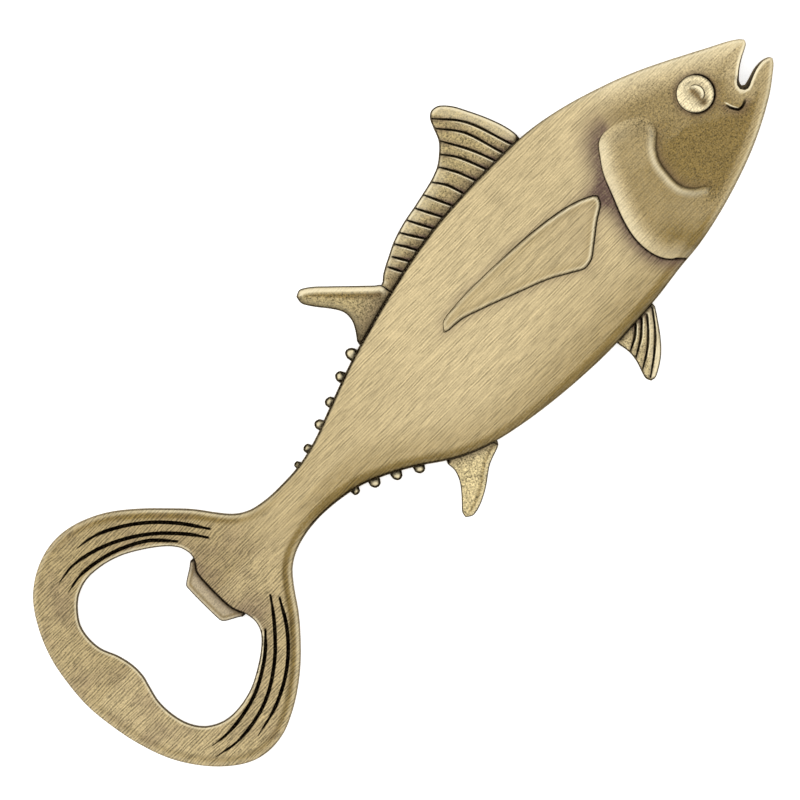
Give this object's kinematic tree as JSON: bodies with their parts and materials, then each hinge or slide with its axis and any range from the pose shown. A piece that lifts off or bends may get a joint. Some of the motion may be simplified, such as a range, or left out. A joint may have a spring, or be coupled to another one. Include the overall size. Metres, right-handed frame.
{
  "type": "bottle opener",
  "caption": "Flat-backed cast metal bottle opener shaped like a tuna, whose tail is a ring with a cap-lifting lug and a fulcrum bump.",
  "frame": {"origin": "middle of the bounding box, on the plane of the flat back", "axes": "+X towards the fish's head, +Y towards its dorsal fins, +Z out of the sculpted front"},
  "size_m": [0.1694, 0.0625, 0.006],
  "materials": {
    "brushed_antique_brass": "antique-brass plating on a zinc casting, brushed along the fish, with dark patina in the creases",
    "cast_antique_brass": "antique-brass plating left as cast, fine grain, dark between the fin rays",
    "dark_cast_brass": "greyer as-cast plating, not brushed",
    "worn_bright_brass": "raised detail rubbed bright"
  },
  "bodies": {
    "root": {"fish_body": "brushed_antique_brass", "cap_lug": "dark_cast_brass", "first_dorsal_fin": "cast_antique_brass", "second_dorsal_fin": "cast_antique_brass", "anal_fin": "cast_antique_brass", "pelvic_fin": "cast_antique_brass", "upper_finlet_1": "cast_antique_brass", "upper_finlet_2": "cast_antique_brass", "upper_finlet_3": "cast_antique_brass", "upper_finlet_4": "cast_antique_brass", "upper_finlet_5": "cast_antique_brass", "upper_finlet_6": "cast_antique_brass", "lower_finlet_1": "cast_antique_brass", "lower_finlet_2": "cast_antique_brass", "lower_finlet_3": "cast_antique_brass", "lower_finlet_4": "cast_antique_brass", "pectoral_fin": "brushed_antique_brass", "gill_cover": "brushed_antique_brass", "eye_disc": "worn_bright_brass", "pupil": "worn_bright_brass"}
  },
  "joints": []
}
